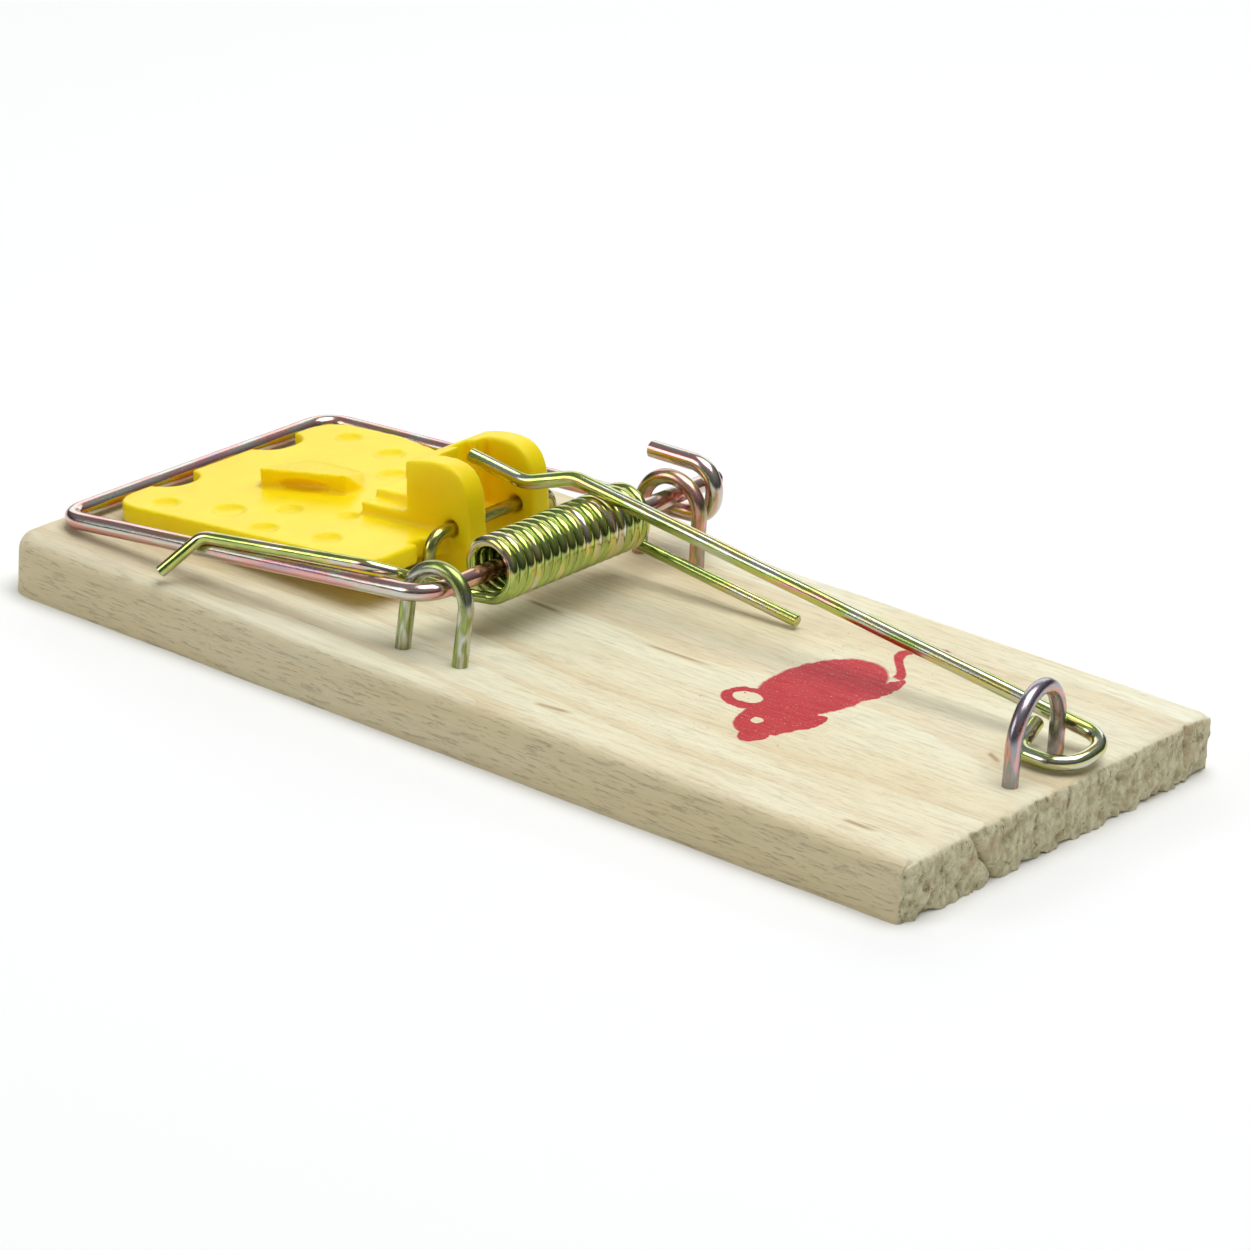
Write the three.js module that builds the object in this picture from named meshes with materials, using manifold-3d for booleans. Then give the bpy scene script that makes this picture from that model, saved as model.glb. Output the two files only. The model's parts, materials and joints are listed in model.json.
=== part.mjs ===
// Snap mouse trap: a wooden board with a wire hammer, a torsion spring, three
// staples, a wire locking bar and a plastic bait pedal on a wire pivot.
// Millimetres, +Z up. The origin is at the bottom centre of the board. X runs
// along the board, with the pedal towards -X and the locking bar's staple at +X.
// The trap is sprung: the hammer lies around the pedal.

import * as THREE from 'three';
import { ConvexGeometry } from 'three/addons/geometries/ConvexGeometry.js';
import { mergeVertices } from 'three/addons/utils/BufferGeometryUtils.js';
import Module from 'manifold-3d';

const wasm = await Module();
wasm.setup();

// ---------------------------------------------------------------- dimensions

const BOARD = {
  length: 100,
  width: 45,
  thick: 5.5,
  edgeRound: 1.4,
  leftRound: 2.6,
  rightRound: 0.6,
};
const TOP = BOARD.thick;

const HAMMER_WIRE = 1.6;
const STAPLE_WIRE = 1.4;
const LATCH_WIRE = 1.4;
const SPRING_WIRE = 1.1;
const PIVOT_WIRE = 1.2;
const FIT_GAP = 0.15; // room around a wire in its hole, and between pieces that touch

const MERGE_TOLERANCE = 1e-4; // corners this close are one corner
const TINY = 0.01; // stands for a radius, or a straight, of no size
const OVERSHOOT = 1; // how far a cut runs past the face it cuts
const BEND_STEP = 0.24; // radians of bend between two stations of a wire's path

const AXLE = { x: -4.9, z: TOP + 5.9 }; // the hammer turns about this line, along Y

const HAMMER = {
  crossbarX: -47.3,
  crossbarZ: TOP + 0.95,
  railY: 18,
  axleEndY: 22.4,
  cornerRadius: 2.5,
  axleBend: 2.6,
};
const HOOK = { x: -1.8, bottomZ: TOP + 4.1, topZ: TOP + 8.95, bend: 2.35, tipX: -9.1, tipZ: TOP + 8.8 };

const SPRING = { meanRadius: 2.5, turns: 17, startY: -9.7, endY: 9.6, stationsPerTurn: 16, legStart: 1 };
const FAR_LEG = { tipX: 13.4, tipY: 10.8, tipZ: TOP + 0.75 };
const STRIKER = {
  start: [-1.6, -0.8, 0], // how far past the coil's end the leg begins
  riseX: -11, // the leg reaches the top of the hammer's rail here
  railOffset: 0.5, // how far inside the rail's centre line it lies
  bendX: -29.8,
  bendY: -18.8,
  tip: [-32.3, -21.4, TOP + 1],
  lift: 0.05, // more room above the rail than the fit gap
  bendLift: 0.25, // still more room at the bend
  bends: [4, 1.5],
};

const STAPLE = { span: 6.14, height: 8.5, depth: 4.4 };
const NEAR_STAPLE = { x: -5.1, y: -16.7, turn: 3, lean: 6 };
const FAR_STAPLE = { x: -4.8, y: 15.7, turn: 4, lean: 0 };
const LATCH_STAPLE = { x: 45.5, y: 0.95, turn: 99.2, lean: 0, span: 8.6, height: 7.9, depth: 4.4 };

const LATCH = {
  heel: [49, 7, TOP + 1.66],
  frontY: 1.1,
  leftX: 43.6,
  end: [42.6, 5.4, TOP + 1.9],
  floorZ: TOP + 0.9,
  overSpring: [-7, 4.3, TOP + 10.15],
  dip: [-11.7, 3.4, TOP + 8.64],
  tip: [-17.4, 2.5, TOP + 9.87],
  bends: [1.9, 2.6, 2.3, 3.2, 3.6],
};

const PIVOT = { x: -14.1, z: TOP + 5.5, nearY: -6.6, farY: 10.1, bend: 1.7, depth: 4 };

const PEDAL = {
  tilt: 5.6, // the bait end hangs down onto the board
  left: -45.8,
  right: -14.7,
  near: -13.8,
  far: 16.2,
  topBelowPivot: 0.5,
  thick: 1.8,
  leftCorner: 3,
  rightCorner: 2.2,
  pinGap: 0.2, // room around the pivot wire
};

// The plate narrows like a slice of cheese: from this far along, about the
// pivot, its far edge slants in to rightY at the right end.
const TAPER = { left: -22.6, rightY: 10.2 };

// The bites out of the plate's left edge: their centres, about the pivot, and radii.
const BITES = [
  [PEDAL.left - PIVOT.x, -5.4, 2.7],
  [PEDAL.left - PIVOT.x, 8.4, 2.9],
];
const BITE_SQUASH = 0.85; // a bite is this much narrower along X

// The slots that let the plate tilt past the pivot wire's legs.
const LEG_SLOT = { gap: 0.35, left: 0.6, right: 4, halfHeight: 8 };

const BLOCK = {
  near: -3.8,
  far: 7.3,
  cheek: 2.3,
  left: -5.1,
  right: 2.2,
  top: 5.8,
  bottom: -4.1,
  footBevel: 0.6,
  backTop: 1.7, // the back is upright as far as this, then curves over to the crown
  backPull: 2.5,
  crownX: -1.4,
  crownPull: 2.7,
  nosePull: 2,
  noseDrop: 0.5,
};
const SHOULDER = { left: -10.4, stepWidth: 2, stepTop: 0.65, top: 1.35, root: 0.5, overlap: 0.2 };
const WEB = {
  thick: 1.9,
  lip: 0.6,
  catchNear: 1.4,
  catchFar: 3.8,
  notchBottom: 1.2,
  windowBottom: SHOULDER.top + 0.1,
  windowTop: 3.2,
};

// The bait holder, about the pivot: its wall runs from wallLeft to wallRight, and
// the hill behind the wall falls to the plate along the back outline.
const HOOD = {
  height: 1.9,
  wallLeft: [-23, -2.9],
  wallRight: [-15, -0.3],
  overhang: 0.25, // the wall leans out over its foot
  back: [[-26.3, 2.2], [-25.6, 7.2], [-19, 7], [-15, 2.6]],
  root: 0.4, // how far it reaches down into the plate
  scoop: [2.6, 0.7, 0.6],
  scoopDrop: 0.1, // the hollow reaches this far below the wall's foot
};

// The dimples' centres, about the pivot, and radii.
const DIMPLE_DEPTH = 0.45;
const DIMPLES = [
  [-27.1, -11.2, 1.35],
  [-21, -9.5, 1.6],
  [-16.7, -6.2, 1.25],
  [-14.9, -11.8, 1.45],
  [-8.4, -10.7, 1.4],
  [-11, -4.9, 1.1],
  [-26.5, 13.1, 1.3],
  [-20, 11.3, 1.5],
  [-15.7, 6.6, 1.5],
];

// -------------------------------------------------------------------- solids

// A closed manifold solid from a three.js geometry.
function solidOf(geometry) {
  const bare = geometry.index ? geometry.toNonIndexed() : geometry.clone();
  bare.deleteAttribute('normal');
  bare.deleteAttribute('uv');
  const merged = mergeVertices(bare, MERGE_TOLERANCE);
  const mesh = new wasm.Mesh({
    numProp: 3,
    vertProperties: new Float32Array(merged.attributes.position.array),
    triVerts: new Uint32Array(merged.index.array),
  });
  return new wasm.Manifold(mesh);
}

// A three.js geometry from a manifold solid.
function geometryOf(solid) {
  const mesh = solid.getMesh();
  const geometry = new THREE.BufferGeometry();
  geometry.setAttribute('position', new THREE.BufferAttribute(new Float32Array(mesh.vertProperties), 3));
  geometry.setIndex(new THREE.BufferAttribute(new Uint32Array(mesh.triVerts), 1));
  geometry.computeVertexNormals();
  return geometry;
}

function box(x0, x1, y0, y1, z0, z1) {
  const geometry = new THREE.BoxGeometry(x1 - x0, y1 - y0, z1 - z0);
  geometry.translate((x0 + x1) / 2, (y0 + y1) / 2, (z0 + z1) / 2);
  return solidOf(geometry);
}

// A rod along Y.
function rodAlongY(x, z, radius, y0, y1, sides = 16) {
  const geometry = new THREE.CylinderGeometry(radius, radius, y1 - y0, sides);
  geometry.translate(x, (y0 + y1) / 2, z);
  return solidOf(geometry);
}

function ellipsoid(centre, radii, rings = 8) {
  const geometry = new THREE.SphereGeometry(1, rings * 2, rings);
  geometry.scale(...radii);
  geometry.translate(...centre);
  return solidOf(geometry);
}

// A flat outline in X and Y, raised from z0 to z1.
function slab(shape, z0, z1, curveSegments = 6) {
  const depth = z1 - z0;
  const geometry = new THREE.ExtrudeGeometry(shape, { depth, bevelEnabled: false, curveSegments });
  geometry.translate(0, 0, z0);
  return solidOf(geometry);
}

// An outline drawn in X and Z, swept along Y from y0 to y1.
function prismAlongY(shape, y0, y1, curveSegments = 8) {
  const depth = y1 - y0;
  const geometry = new THREE.ExtrudeGeometry(shape, { depth, bevelEnabled: false, curveSegments });
  geometry.rotateX(Math.PI / 2);
  geometry.translate(0, y1, 0);
  return solidOf(geometry);
}

// A rectangle with its own radius at each corner: lower left, lower right, upper right, upper left.
function roundedRectangle(x0, x1, y0, y1, radii) {
  const [lowLeft, lowRight, upRight, upLeft] = radii;
  const shape = new THREE.Shape();
  shape.moveTo(x0 + lowLeft, y0);
  shape.lineTo(x1 - lowRight, y0);
  shape.absarc(x1 - lowRight, y0 + lowRight, lowRight, -Math.PI / 2, 0);
  shape.lineTo(x1, y1 - upRight);
  shape.absarc(x1 - upRight, y1 - upRight, upRight, 0, Math.PI / 2);
  shape.lineTo(x0 + upLeft, y1);
  shape.absarc(x0 + upLeft, y1 - upLeft, upLeft, Math.PI / 2, Math.PI);
  shape.lineTo(x0, y0 + lowLeft);
  shape.absarc(x0 + lowLeft, y0 + lowLeft, lowLeft, Math.PI, 1.5 * Math.PI);
  return shape;
}

// --------------------------------------------------------------------- wires

// A bent wire's centre line. It has a station at each end of every straight
// stretch and along every bend, so that the long straights stay cheap.
class WirePath extends THREE.Curve {
  constructor(stations, tangents) {
    super();
    this.stations = stations;
    this.tangents = tangents;
  }

  at(list, u) {
    return list[Math.round(u * (list.length - 1))].clone();
  }

  getPoint(t) {
    return this.at(this.stations, t);
  }

  getPointAt(u) {
    return this.at(this.stations, u);
  }

  getTangentAt(u) {
    return this.at(this.tangents, u);
  }
}

// The path through corner points, each corner rounded to its own bend radius.
function bentPath(points, bends) {
  const corners = points.map((point) => new THREE.Vector3(...point));
  const stations = [corners[0]];
  const tangents = [corners[1].clone().sub(corners[0]).normalize()];
  for (let i = 1; i < corners.length - 1; i += 1) {
    const into = corners[i].clone().sub(corners[i - 1]).normalize();
    const out = corners[i + 1].clone().sub(corners[i]).normalize();
    const turn = into.angleTo(out);
    const radius = Array.isArray(bends) ? bends[i - 1] : bends;
    const reach = radius * Math.tan(turn / 2);
    const start = corners[i].clone().addScaledVector(into, -reach);
    const inward = out.clone().addScaledVector(into, -into.dot(out)).normalize();
    const centre = start.clone().addScaledVector(inward, radius);
    const steps = Math.max(2, Math.ceil(turn / BEND_STEP));
    for (let step = 0; step <= steps; step += 1) {
      const angle = (turn * step) / steps;
      const sine = Math.sin(angle);
      const cosine = Math.cos(angle);
      stations.push(
        centre.clone().addScaledVector(inward, -radius * cosine).addScaledVector(into, radius * sine),
      );
      tangents.push(into.clone().multiplyScalar(cosine).addScaledVector(inward, sine));
    }
  }
  stations.push(corners.at(-1));
  tangents.push(corners.at(-1).clone().sub(corners.at(-2)).normalize());
  return new WirePath(stations, tangents);
}

// A round wire along a path.
function wireGeometry(path, diameter, sides = 12) {
  const section = new THREE.Shape();
  for (let i = 0; i < sides; i += 1) {
    const angle = (2 * Math.PI * i) / sides;
    const x = (diameter / 2) * Math.cos(angle);
    const y = (diameter / 2) * Math.sin(angle);
    if (i === 0) section.moveTo(x, y);
    else section.lineTo(x, y);
  }
  section.closePath();
  return new THREE.ExtrudeGeometry(section, { steps: path.stations.length - 1, extrudePath: path });
}

// ------------------------------------------------------------------- staples

// A staple's path: two legs driven into the board, and a round crown. Its span
// runs along X before it is turned about Z. lean tips the crown away from -Y.
function staplePath({ x, y, turn, lean, span, height, depth }) {
  const half = span / 2;
  const crownZ = height - STAPLE_WIRE / 2;
  const local = [
    [-half, 0, -depth],
    [-half, 0, crownZ],
    [half, 0, crownZ],
    [half, 0, -depth],
  ];
  const placed = new THREE.Matrix4()
    .makeTranslation(x, y, TOP)
    .multiply(new THREE.Matrix4().makeRotationZ(THREE.MathUtils.degToRad(turn)))
    .multiply(new THREE.Matrix4().makeRotationX(THREE.MathUtils.degToRad(-lean)));
  const points = local.map((point) => new THREE.Vector3(...point).applyMatrix4(placed).toArray());
  return bentPath(points, half - TINY);
}

const staplePaths = {
  near_axle_staple: staplePath({ ...STAPLE, ...NEAR_STAPLE }),
  far_axle_staple: staplePath({ ...STAPLE, ...FAR_STAPLE }),
  latch_staple: staplePath(LATCH_STAPLE),
};

// The pedal's pivot: a wide staple whose crown runs through the pedal's block.
const pivotPath = bentPath(
  [
    [PIVOT.x, PIVOT.nearY, TOP - PIVOT.depth],
    [PIVOT.x, PIVOT.nearY, PIVOT.z],
    [PIVOT.x, PIVOT.farY, PIVOT.z],
    [PIVOT.x, PIVOT.farY, TOP - PIVOT.depth],
  ],
  PIVOT.bend,
);

// --------------------------------------------------------------------- board

function baseBoard() {
  const { length, width, thick, edgeRound, leftRound, rightRound } = BOARD;
  const ends = roundedRectangle(-width / 2, width / 2, 0, thick, [TINY, TINY, edgeRound, edgeRound]);
  const depth = length + 2 * OVERSHOOT;
  const along = new THREE.ExtrudeGeometry(ends, { depth, bevelEnabled: false, curveSegments: 6 });
  along.rotateX(Math.PI / 2);
  along.rotateZ(Math.PI / 2);
  along.translate(-depth / 2, 0, 0);
  const plan = roundedRectangle(-length / 2, length / 2, -width / 2, width / 2,
    [leftRound, rightRound, rightRound, leftRound]);
  let board = solidOf(along).intersect(slab(plan, -OVERSHOOT, thick + OVERSHOOT));
  for (const path of Object.values(staplePaths)) {
    board = board.subtract(solidOf(wireGeometry(path, STAPLE_WIRE + 2 * FIT_GAP)));
  }
  return geometryOf(board.subtract(solidOf(wireGeometry(pivotPath, PIVOT_WIRE + 2 * FIT_GAP))));
}

// -------------------------------------------------------------------- hammer

// The height of the near rail's centre line, which falls from the axle to the crossbar.
function railZ(x) {
  const along = (x - AXLE.x) / (HAMMER.crossbarX - AXLE.x);
  return AXLE.z + along * (HAMMER.crossbarZ - AXLE.z);
}

function hammer() {
  const { crossbarX, crossbarZ, railY, axleEndY, cornerRadius, axleBend } = HAMMER;
  const path = bentPath(
    [
      [AXLE.x, axleEndY, AXLE.z],
      [AXLE.x, -railY, AXLE.z],
      [crossbarX, -railY, crossbarZ],
      [crossbarX, railY, crossbarZ],
      [HOOK.x, railY, HOOK.bottomZ],
      [HOOK.x, railY, HOOK.topZ],
      [HOOK.tipX, railY, HOOK.tipZ],
    ],
    [axleBend, cornerRadius, cornerRadius, HOOK.bend, HOOK.bend],
  );
  return wireGeometry(path, HAMMER_WIRE, 14);
}

// -------------------------------------------------------------------- spring

// The coil, wound about the axle, with the leg that lies on the board.
function springCoil() {
  const { meanRadius, turns, startY, endY, stationsPerTurn, legStart } = SPRING;
  const stations = [];
  const tangents = [];
  const rise = (endY - startY) / (2 * Math.PI * turns);
  for (let i = 0; i <= turns * stationsPerTurn; i += 1) {
    const angle = (2 * Math.PI * i) / stationsPerTurn;
    stations.push(new THREE.Vector3(
      AXLE.x + meanRadius * Math.sin(angle),
      startY + rise * angle,
      AXLE.z - meanRadius * Math.cos(angle),
    ));
    tangents.push(new THREE.Vector3(
      meanRadius * Math.cos(angle),
      rise,
      meanRadius * Math.sin(angle),
    ).normalize());
  }
  const tip = new THREE.Vector3(FAR_LEG.tipX, FAR_LEG.tipY, FAR_LEG.tipZ);
  const along = tip.clone().sub(stations.at(-1)).normalize();
  stations.push(stations.at(-1).clone().addScaledVector(along, legStart), tip);
  tangents.push(along, along);
  return wireGeometry(new WirePath(stations, tangents), SPRING_WIRE, 8);
}

// The spring's other leg, which presses on the hammer's near rail and turns with it.
function springStrikingLeg() {
  const coilEnd = new THREE.Vector3(AXLE.x, SPRING.startY, AXLE.z - SPRING.meanRadius);
  const start = coilEnd.clone().add(new THREE.Vector3(...STRIKER.start));
  const clear = (HAMMER_WIRE + SPRING_WIRE) / 2 + FIT_GAP;
  const above = Math.sqrt(clear ** 2 - STRIKER.railOffset ** 2) + STRIKER.lift;
  const path = bentPath(
    [
      start.toArray(),
      [STRIKER.riseX, -HAMMER.railY + STRIKER.railOffset, railZ(STRIKER.riseX) + above],
      [STRIKER.bendX, STRIKER.bendY, railZ(STRIKER.bendX) + above + STRIKER.bendLift],
      STRIKER.tip,
    ],
    STRIKER.bends,
  );
  return wireGeometry(path, SPRING_WIRE, 12);
}

// --------------------------------------------------------------- locking bar

function latchBar() {
  const [heelX, heelY, heelZ] = LATCH.heel;
  const path = bentPath(
    [
      LATCH.end,
      [LATCH.leftX, LATCH.frontY, LATCH.floorZ],
      [heelX, LATCH.frontY, LATCH.floorZ],
      [heelX, heelY, heelZ],
      LATCH.overSpring,
      LATCH.dip,
      LATCH.tip,
    ],
    LATCH.bends,
  );
  return wireGeometry(path, LATCH_WIRE, 14);
}

// --------------------------------------------------------------------- pedal

// What the plate loses where its far edge slants in.
function plateTaper(z0, z1) {
  const right = PEDAL.right - PIVOT.x;
  const outside = PEDAL.far + OVERSHOOT;
  const shape = new THREE.Shape();
  shape.moveTo(TAPER.left, PEDAL.far);
  shape.lineTo(right, TAPER.rightY);
  shape.lineTo(right + OVERSHOOT, TAPER.rightY);
  shape.lineTo(right + OVERSHOOT, outside);
  shape.lineTo(TAPER.left, outside);
  return slab(shape, z0, z1);
}

// The plate in plan, about the pivot: a slab of cheese with bites out of its left edge.
function pedalPlate() {
  const { left, right, near, far, topBelowPivot, thick, leftCorner, rightCorner } = PEDAL;
  const corners = [leftCorner, rightCorner, rightCorner, leftCorner];
  const outline = roundedRectangle(left - PIVOT.x, right - PIVOT.x, near, far, corners);
  const bottom = -topBelowPivot - thick;
  let plate = slab(outline, bottom, -topBelowPivot, 8)
    .subtract(plateTaper(bottom - OVERSHOOT, -topBelowPivot + OVERSHOOT));
  for (const [x, y, radius] of BITES) {
    const round = new THREE.CylinderGeometry(radius, radius, 2 * thick, 24);
    round.rotateX(Math.PI / 2);
    round.scale(BITE_SQUASH, 1, 1);
    round.translate(x, y, -topBelowPivot - thick / 2);
    plate = plate.subtract(solidOf(round));
  }
  return plate;
}

// The trigger block's side view, drawn in X and Z about the pivot.
function blockProfile() {
  const { left, right, top, bottom, footBevel, backTop, backPull } = BLOCK;
  const { crownX, crownPull, nosePull, noseDrop } = BLOCK;
  const shape = new THREE.Shape();
  shape.moveTo(left, bottom);
  shape.lineTo(right - footBevel, bottom);
  shape.lineTo(right, bottom + footBevel);
  shape.lineTo(right, backTop);
  shape.bezierCurveTo(right, backTop + backPull, crownX + crownPull, top, crownX, top);
  shape.quadraticCurveTo(crownX - nosePull, top, left, top - noseDrop);
  return shape;
}

// The low shoulder in front of the block, with a lower step along its near side.
function pedalShoulder() {
  const { near, far } = BLOCK;
  const { left, stepWidth, stepTop, top, root, overlap } = SHOULDER;
  const right = BLOCK.left + overlap;
  const foot = -PEDAL.topBelowPivot - root;
  const step = box(left, right, near, near + stepWidth, foot, stepTop);
  return step.add(box(left, right, near + stepWidth, far, foot, top));
}

// The block: a cheek on each side of a slot, closed by a web. The web has a
// notch and a window, whose lip catches the locking bar's tip.
function pedalBlock() {
  const { near, far, cheek, left, right, bottom } = BLOCK;
  const { catchNear, catchFar, notchBottom, windowBottom, windowTop } = WEB;
  const above = BLOCK.top + OVERSHOOT;
  const inside = left + WEB.thick;
  const behind = inside + OVERSHOOT;
  const slot = box(inside, right + OVERSHOOT, near + cheek, far - cheek, bottom - OVERSHOOT, above);
  const notch = box(left + WEB.lip, behind, catchNear, catchFar, notchBottom, above);
  const window = box(left - OVERSHOOT, behind, catchNear, catchFar, windowBottom, windowTop);
  return prismAlongY(blockProfile(), near, far, 12)
    .subtract(slot)
    .add(pedalShoulder())
    .subtract(notch)
    .subtract(window);
}

// The bait holder: a low hill on the plate, cut off by a wall that faces the near side.
function baitHood(z) {
  const { height, wallLeft, wallRight, overhang, back, root } = HOOD;
  const foot = [wallLeft, wallRight, ...back].map(([x, y]) => new THREE.Vector3(x, y, z - root));
  const crest = [wallLeft, wallRight].map(([x, y]) => new THREE.Vector3(x, y - overhang, z + height));
  return solidOf(new ConvexGeometry([...foot, ...crest]));
}

// The hollow in the bait holder's wall, just above its foot.
function baitScoop(z) {
  const { wallLeft, wallRight, scoop, scoopDrop } = HOOD;
  const turn = Math.atan2(wallRight[1] - wallLeft[1], wallRight[0] - wallLeft[0]);
  const middle = wallLeft.map((value, axis) => (value + wallRight[axis]) / 2);
  return ellipsoid([0, 0, 0], scoop, 8)
    .rotate([0, 0, THREE.MathUtils.radToDeg(turn)])
    .translate([middle[0], middle[1], z + scoop[2] - scoopDrop]);
}

// The round dimples moulded into the plate.
function pedalDimples(z) {
  return DIMPLES.map(([x, y, radius]) => ellipsoid([x, y, z], [radius, radius, DIMPLE_DEPTH], 6));
}

function baitPedal() {
  const z = -PEDAL.topBelowPivot;
  const pinRadius = PIVOT_WIRE / 2 + PEDAL.pinGap;
  const pinHole = rodAlongY(0, 0, pinRadius, BLOCK.near - OVERSHOOT, BLOCK.far + OVERSHOOT);
  let pedal = pedalPlate()
    .add(baitHood(z))
    .subtract(baitScoop(z))
    .add(pedalBlock())
    .subtract(pinHole);
  for (const dimple of pedalDimples(z)) {
    pedal = pedal.subtract(dimple);
  }
  const { gap, left, right, halfHeight } = LEG_SLOT;
  const room = PIVOT_WIRE / 2 + gap;
  for (const y of [PIVOT.nearY, PIVOT.farY]) {
    pedal = pedal.subtract(box(-room - left, right, y - room, y + room, -halfHeight, halfHeight));
  }
  return geometryOf(pedal);
}

// ------------------------------------------------------------------ assembly

const FINISH = {
  wood: { color: 0xe2d2a2, roughness: 0.75, metalness: 0 },
  rosyZinc: { color: 0xc2989a, roughness: 0.28, metalness: 1 },
  greenZinc: { color: 0xb6b978, roughness: 0.28, metalness: 1 },
  greyZinc: { color: 0x9c9f92, roughness: 0.32, metalness: 1 },
  yellowPlastic: { color: 0xf6dc28, roughness: 0.38, metalness: 0 },
};

const mouseTrap = new THREE.Group();

function addPart(name, geometry, finish, parent = mouseTrap) {
  const mesh = new THREE.Mesh(geometry, new THREE.MeshStandardMaterial(FINISH[finish]));
  mesh.name = name;
  parent.add(mesh);
  return mesh;
}

addPart('base_board', baseBoard(), 'wood');
for (const [name, path] of Object.entries(staplePaths)) {
  addPart(name, wireGeometry(path, STAPLE_WIRE), 'greyZinc');
}
addPart('pedal_pivot_wire', wireGeometry(pivotPath, PIVOT_WIRE), 'greyZinc');
addPart('hammer', hammer(), 'rosyZinc');
addPart('spring_coil', springCoil(), 'greenZinc');
addPart('spring_striking_leg', springStrikingLeg(), 'greenZinc');
addPart('latch_bar', latchBar(), 'greenZinc');

const pedal = addPart('bait_pedal', baitPedal(), 'yellowPlastic');
pedal.position.set(PIVOT.x, 0, PIVOT.z);
pedal.rotation.y = THREE.MathUtils.degToRad(-PEDAL.tilt);

export default mouseTrap;
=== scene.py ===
"""Looks of a snap mouse trap: wood, zinc-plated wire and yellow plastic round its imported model.

Sizes here are in millimetres, in the model's frame, and become metres as each mesh is made.
X runs along the board, with the pedal towards -X and the latch towards +X. Z is up.
"""
import json
import math
import random

import bpy
from mathutils import Matrix, Vector, noise


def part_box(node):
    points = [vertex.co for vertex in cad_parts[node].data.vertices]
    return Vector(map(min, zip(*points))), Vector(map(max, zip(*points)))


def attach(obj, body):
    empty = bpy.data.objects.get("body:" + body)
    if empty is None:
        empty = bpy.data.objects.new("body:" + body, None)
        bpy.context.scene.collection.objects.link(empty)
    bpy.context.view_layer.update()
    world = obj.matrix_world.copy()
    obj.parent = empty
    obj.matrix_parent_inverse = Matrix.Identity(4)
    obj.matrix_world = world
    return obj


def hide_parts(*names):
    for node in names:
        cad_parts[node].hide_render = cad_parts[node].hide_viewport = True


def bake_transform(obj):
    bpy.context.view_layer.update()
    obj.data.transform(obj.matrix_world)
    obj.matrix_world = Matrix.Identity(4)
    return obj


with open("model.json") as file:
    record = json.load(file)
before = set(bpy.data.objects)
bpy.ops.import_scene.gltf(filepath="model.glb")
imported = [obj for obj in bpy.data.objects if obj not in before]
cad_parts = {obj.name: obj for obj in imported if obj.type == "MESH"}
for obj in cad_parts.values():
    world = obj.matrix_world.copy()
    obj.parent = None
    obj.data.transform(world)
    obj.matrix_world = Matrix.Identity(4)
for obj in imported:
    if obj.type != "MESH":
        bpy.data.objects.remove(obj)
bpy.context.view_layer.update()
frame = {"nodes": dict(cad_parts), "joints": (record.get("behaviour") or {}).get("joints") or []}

MM = 0.001


def box_mm(node):
    """A CAD node's lowest and highest corners, in millimetres."""
    low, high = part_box(node)
    return low / MM, high / MM


def joint_place(name):
    """The point that a joint turns about, in millimetres."""
    joint = next(j for j in frame["joints"] if j["name"] == name)
    return Vector(joint["pos_m"]) / MM


TOP = box_mm("base_board")[1].z
AXLE = joint_place("hammer_swing")
PIVOT = joint_place("pedal_tilt")

# Wire diameters
HAMMER_WIRE = 1.6
STAPLE_WIRE = 1.4
LATCH_WIRE = 1.4
SPRING_WIRE = 1.1
PIVOT_WIRE = 1.2


# ------------------------------------------------------------------ shader nodes

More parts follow.
